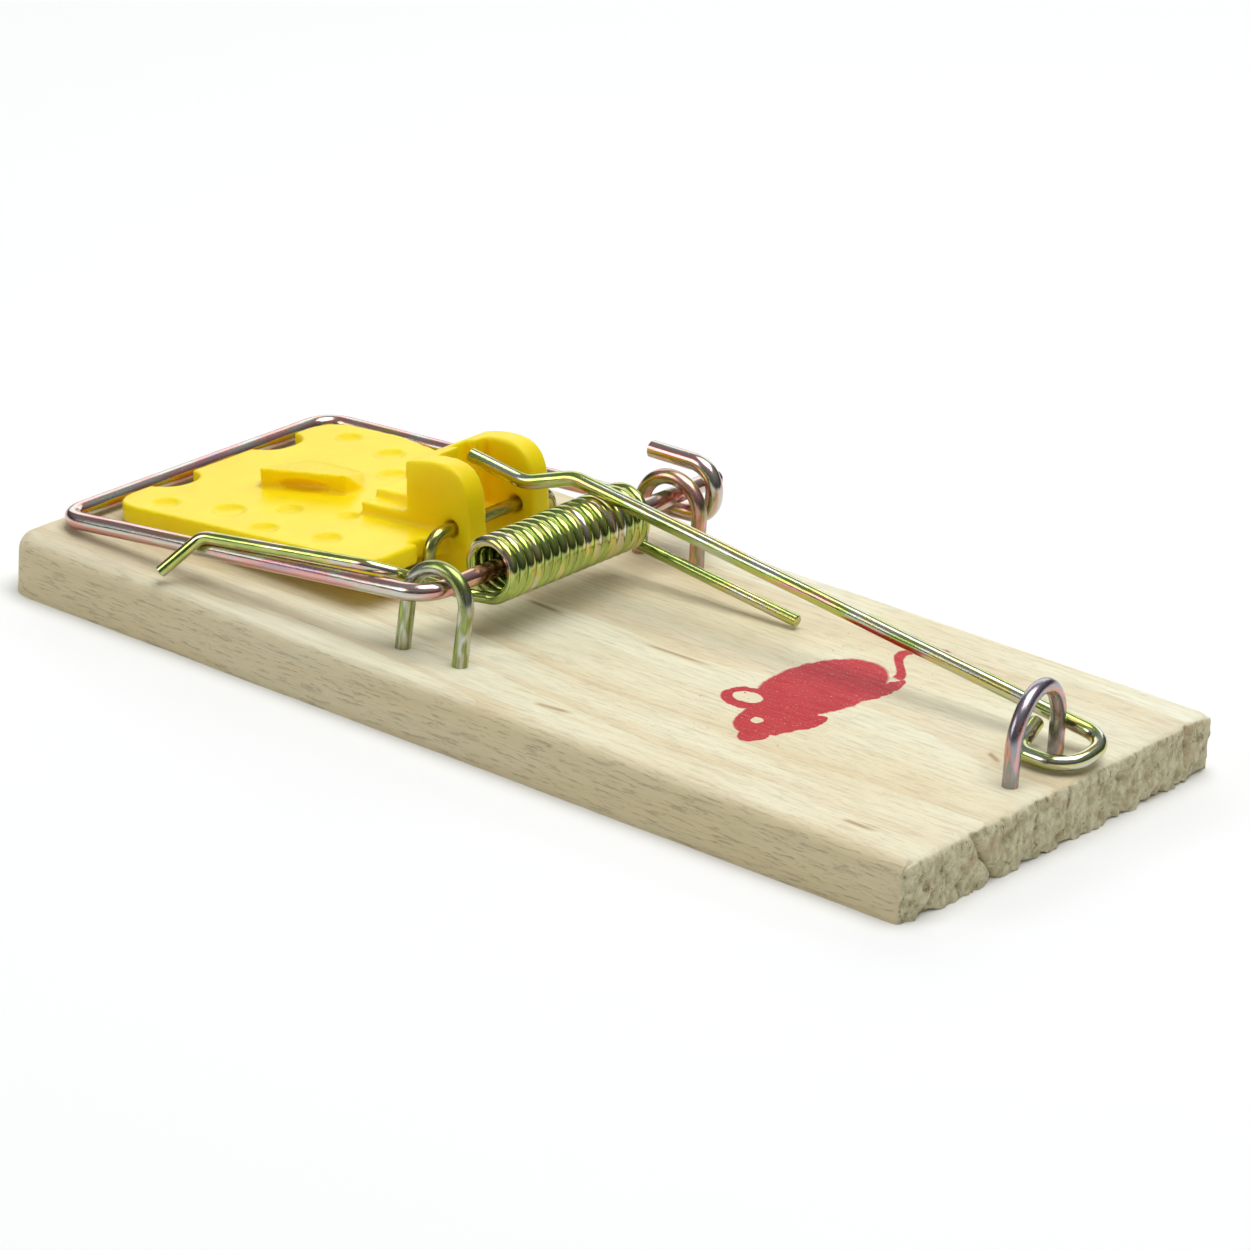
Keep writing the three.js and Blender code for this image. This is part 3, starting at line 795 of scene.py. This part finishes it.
# The sawn end is torn back in layers, each with its depth, its lift and how fine it
# is along Y and Z, and a seed. Pits and one crack go deeper.
TEAR_LAYERS = [
    (0.22, 0.6, 0.22, 0.5, 3.1),
    (0.13, 0.5, 1.7, 0.9, 7.7),
    (0.09, 0.5, 3.6, 3.1, 1.9),
]
PITS = {
    "seed": 4,
    "count": 90,
    "lowest": 0.4,
    "radius": (0.25, 0.6),
    "depth": (0.25, 0.7),
    "height": 1.5,
    "steepness": 1.6,
}
CRACK = {"y": -11.5, "slope": 0.73, "width": 0.3, "depth": 0.9}
TORN = {
    "reach": 1.0,  # how far along the board the tear goes
    "top_share": 0.3,  # the tear is shallower near the top
    "top_fade": 1.3,
    "splinter_height": 1.6,  # the bottom edge is splintered as high as this
    "splinter_in": 0.5,
    "splinter_up": 0.7,
}


def graded(high, step, fine_low, fine_high):
    """Places from 0 to high, closer together over the rounded stretch at each end."""
    fine_count = BOARD["fine_count"]
    inner_low, inner_high = fine_low, high - fine_high
    count = max(2, round((inner_high - inner_low) / step))
    middle = [inner_low + (inner_high - inner_low) * i / count for i in range(count + 1)]
    head = [fine_low * i / fine_count for i in range(fine_count)] if fine_low else []
    tail = [high - fine_high * i / fine_count for i in reversed(range(fine_count))]
    return head + middle + tail


def rounded(a, b, radius):
    """Two distances in from two faces that meet at an edge, moved so that the edge is round."""
    if a >= radius or b >= radius:
        return a, b
    p, q = radius - a, radius - b
    reach = max(p, q)
    size = math.hypot(p, q)
    return radius - p * reach / size, radius - q * reach / size


def rounded_place(x, y, z, low, high):
    """Where a point of the board's box lies once the edges and corners are round."""
    size = high - low
    left, near = x < size.x / 2, y < size.y / 2
    in_x = x if left else size.x - x
    in_y = y if near else size.y - y
    in_z = size.z - z
    in_y, in_z = rounded(in_y, in_z, BOARD["edge_radius"])
    in_x, in_z = rounded(in_x, in_z, BOARD["edge_radius" if left else "end_edge_radius"])
    in_x, in_y = rounded(in_x, in_y, BOARD["left_radius" if left else "right_radius"])
    return Vector((
        low.x + in_x if left else high.x - in_x,
        low.y + in_y if near else high.y - in_y,
        high.z - in_z,
    ))


def make_uneven(spot, y, z, size):
    """The planed top is never quite flat, and the long edges waver."""
    soft = noise.noise(Vector((spot.x * 0.12, spot.y * 0.9, 5.0)))
    edge = noise.noise(Vector((spot.x * 0.15, spot.y * 0.2, z * 0.5)))
    if z > size.z * UNEVEN["top_share"]:
        spot.z -= UNEVEN["top"] * (soft + 0.5)
    if y < UNEVEN["edge_width"]:
        spot.y += UNEVEN["edge"] * (edge + 0.4)
    if y > size.y - UNEVEN["edge_width"]:
        spot.y -= UNEVEN["edge"] * (edge + 0.4)


def staple_feet():
    """Where each wire leg enters the board's top."""
    feet = []
    for shape in STAPLES.values():
        turn = math.radians(shape["turn"])
        x, y = shape["foot"]
        for reach in (-shape["span"] / 2, shape["span"] / 2):
            feet.append((x + reach * math.cos(turn), y + reach * math.sin(turn)))
    return feet + [(PIVOT.x, y) for y in pivot_legs()]


def dent_at_feet(spot, feet):
    for x, y in feet:
        away = (spot.x - x) ** 2 + (spot.y - y) ** 2
        if away < DENT["reach"]:
            spot.z -= DENT["depth"] * math.exp(-away / DENT["spread"])


def torn_pits(low, high):
    """Each pit's place along Y and Z, its radius and its depth."""
    dice = random.Random(PITS["seed"])
    pits = []
    for _ in range(PITS["count"]):
        y = dice.uniform(low.y, high.y)
        z = dice.uniform(PITS["lowest"], TOP)
        radius = dice.uniform(*PITS["radius"])
        depth = dice.uniform(*PITS["depth"])
        pits.append((y, z, radius, depth))
    return pits


def torn_depth(y, z, pits):
    """How far the sawn end is torn back at a place on it."""
    depth = 0.0
    for amount, lift, fine_y, fine_z, seed in TEAR_LAYERS:
        depth += amount * (noise.noise(Vector((y * fine_y, z * fine_z, seed))) + lift)
    for pit_y, pit_z, radius, pit_depth in pits:
        away = ((y - pit_y) / radius) ** 2 + ((z - pit_z) / (PITS["height"] * radius)) ** 2
        if away < 4:
            depth += pit_depth * math.exp(-away * PITS["steepness"])
    off = abs(y - CRACK["y"] - CRACK["slope"] * (TOP / 2 - z))
    depth += CRACK["depth"] * math.exp(-((off / CRACK["width"]) ** 2))
    return max(depth, 0.0)


def tear_end(spot, x, z, size, pits):
    """The right end is torn by the saw, and its bottom edge is splintered."""
    share = max(0.0, 1 - (size.x - x) / TORN["reach"])
    if share == 0:
        return
    below_top = min(1.0, (size.z - z) / TORN["top_fade"])
    top_share = TORN["top_share"]
    spot.x -= share * (top_share + (1 - top_share) * below_top) * torn_depth(spot.y, spot.z, pits)
    ragged = noise.noise(Vector((spot.y * 0.55, 2.2, 0.7)))
    ragged += 0.5 * noise.noise(Vector((spot.y * 1.6, 8.1, 0.3)))
    bottom = max(0.0, 1 - z / TORN["splinter_height"])
    spot.x -= share * bottom * TORN["splinter_in"] * max(0.0, ragged + 0.4)
    spot.z += share * bottom * TORN["splinter_up"] * max(0.0, ragged + 0.3)


def box_faces(nx, ny, nz, corner):
    """The faces on the outside of a grid of nx by ny by nz cells."""
    faces = []

    def quad(*keys):
        faces.append(tuple(corner(*key) for key in keys))

    for i in range(nx):
        for j in range(ny):
            quad((i, j, nz), (i + 1, j, nz), (i + 1, j + 1, nz), (i, j + 1, nz))
            quad((i, j, 0), (i, j + 1, 0), (i + 1, j + 1, 0), (i + 1, j, 0))
    for i in range(nx):
        for k in range(nz):
            quad((i, 0, k), (i + 1, 0, k), (i + 1, 0, k + 1), (i, 0, k + 1))
            quad((i, ny, k), (i, ny, k + 1), (i + 1, ny, k + 1), (i + 1, ny, k))
    for j in range(ny):
        for k in range(nz):
            quad((0, j, k), (0, j, k + 1), (0, j + 1, k + 1), (0, j + 1, k))
            quad((nx, j, k), (nx, j + 1, k), (nx, j + 1, k + 1), (nx, j, k + 1))
    return faces


def make_board():
    """A planed board: round edges and corners, dents round the staples and a torn right end."""
    low, high = box_mm("base_board")
    size = high - low
    step_x, step_y, step_z = BOARD["step"]
    xs = graded(size.x, step_x, BOARD["left_radius"], BOARD["right_radius"])
    ys = graded(size.y, step_y, BOARD["left_radius"], BOARD["left_radius"])
    zs = graded(size.z, step_z, 0, BOARD["edge_radius"])
    feet = staple_feet()
    pits = torn_pits(low, high)
    index, points = {}, []

    def place(x, y, z):
        spot = rounded_place(x, y, z, low, high)
        make_uneven(spot, y, z, size)
        if z == size.z:
            dent_at_feet(spot, feet)
        tear_end(spot, x, z, size, pits)
        return spot

    def corner(i, j, k):
        if (i, j, k) not in index:
            index[i, j, k] = len(points)
            points.append(place(xs[i], ys[j], zs[k]))
        return index[i, j, k]

    faces = box_faces(len(xs) - 1, len(ys) - 1, len(zs) - 1, corner)
    made = make_object("board", points, faces, pine())
    shade_smooth(made, BOARD["sharp_degrees"])
    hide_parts("base_board")
    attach(made, "base")


# ------------------------------------------------------------------ pedal

MOULDED = {"voxel": 0.17, "smoothing": 0.5, "passes": 8, "sharp_degrees": 60}


def make_pedal():
    """The pedal's solid with its edges softened as in a mould."""
    source = frame["nodes"]["bait_pedal"]
    made = bpy.data.objects.new("cheese_pedal", source.data.copy())
    bpy.context.scene.collection.objects.link(made)
    made.data.materials.clear()
    made.data.materials.append(yellow_plastic())
    remesh = made.modifiers.new("remesh", "REMESH")
    remesh.mode = "VOXEL"
    remesh.voxel_size = MOULDED["voxel"] * MM
    smooth = made.modifiers.new("smooth", "SMOOTH")
    smooth.factor = MOULDED["smoothing"]
    smooth.iterations = MOULDED["passes"]
    evaluated = made.evaluated_get(bpy.context.evaluated_depsgraph_get())
    mesh = bpy.data.meshes.new_from_object(evaluated)
    made.modifiers.clear()
    made.data = mesh
    shade_smooth(made, MOULDED["sharp_degrees"])
    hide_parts("bait_pedal")
    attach(made, "pedal")


# ------------------------------------------------------------------ studio

FLOOR_HALF = 4000

# Each softbox's place and size, in metres, and its power.
SOFTBOXES = {
    "overhead": ((0.08, 0.06, 0.6), (0.5, 0.5), 3.25),
    "left_fill": ((-0.4, -0.6, 0.35), (0.35, 0.35), 1.15),
    "back_card": ((-0.45, 0.6, 0.33), (0.9, 0.45), 2.0),
}
LIT_POINT = Vector((0, 0, 0.005))

# The room's light from the horizon up, as a height and a colour.
HORIZON = (0.05, (0.05, 0.055, 0.06, 1))
CEILING = (0.7, (0.9, 0.95, 1.0, 1))
ROOM_STRENGTH = 0.28

SENSOR_WIDTH = 36
CAMERA = {
    "azimuth": 37.322,
    "elevation": 22.307,
    "roll": 3.349,
    "aside": 2.498,
    "above": 4.626,
    "distance": 538.471,
    "zoom": 4.9224,  # focal length over the sensor's width
}


def make_floor():
    half = FLOOR_HALF
    corners = [(-half, -half, 0), (half, -half, 0), (half, half, 0), (-half, half, 0)]
    make_object("studio_floor", corners, [(0, 1, 2, 3)], plain_floor())


def make_lights():
    for name, (place, size, power) in SOFTBOXES.items():
        light = bpy.data.lights.new(name, "AREA")
        light.shape = "RECTANGLE"
        light.size, light.size_y = size
        light.energy = power
        made = bpy.data.objects.new(name, light)
        made.location = place
        made.rotation_euler = (LIT_POINT - Vector(place)).to_track_quat("-Z", "Y").to_euler()
        bpy.context.scene.collection.objects.link(made)


def make_world():
    """A dim room: nearly dark round the horizon, so that bright wires keep dark edges."""
    world = bpy.data.worlds.new("studio")
    world.use_nodes = True
    tree = world.node_tree
    background = tree.nodes["Background"]
    direction = tree.nodes.new("ShaderNodeTexCoord").outputs["Generated"]
    height = tree.nodes.new("ShaderNodeSeparateXYZ")
    tree.links.new(direction, height.inputs[0])
    ramp = tree.nodes.new("ShaderNodeValToRGB")
    tree.links.new(height.outputs["Z"], ramp.inputs["Fac"])
    low, high = ramp.color_ramp.elements
    low.position, low.color = HORIZON
    high.position, high.color = CEILING
    tree.links.new(ramp.outputs["Color"], background.inputs["Color"])
    background.inputs["Strength"].default_value = ROOM_STRENGTH
    bpy.context.scene.world = world


def make_camera():
    a, e, r = (math.radians(CAMERA[key]) for key in ("azimuth", "elevation", "roll"))
    back = Vector((math.sin(a) * math.cos(e), -math.cos(a) * math.cos(e), math.sin(e)))
    level = Vector((math.cos(a), math.sin(a), 0))
    upright = back.cross(level)
    right = level * math.cos(r) + upright * math.sin(r)
    up = upright * math.cos(r) - level * math.sin(r)
    eye = right * CAMERA["aside"] + up * CAMERA["above"] + back * CAMERA["distance"]
    camera = bpy.data.cameras.new("camera")
    camera.sensor_width = SENSOR_WIDTH
    camera.lens = SENSOR_WIDTH * CAMERA["zoom"]
    camera.clip_start, camera.clip_end = 0.01, 20
    made = bpy.data.objects.new("camera", camera)
    made.matrix_world = Matrix.Translation(eye * MM) @ Matrix((right, up, back)).transposed().to_4x4()
    bpy.context.scene.collection.objects.link(made)
    bpy.context.scene.camera = made


make_camera()
make_board()
make_pedal()
make_hammer()
make_spring()
make_latch_bar()
make_staples()
make_pivot()
make_floor()
make_world()
make_lights()
bpy.context.scene.view_settings.view_transform = "Standard"
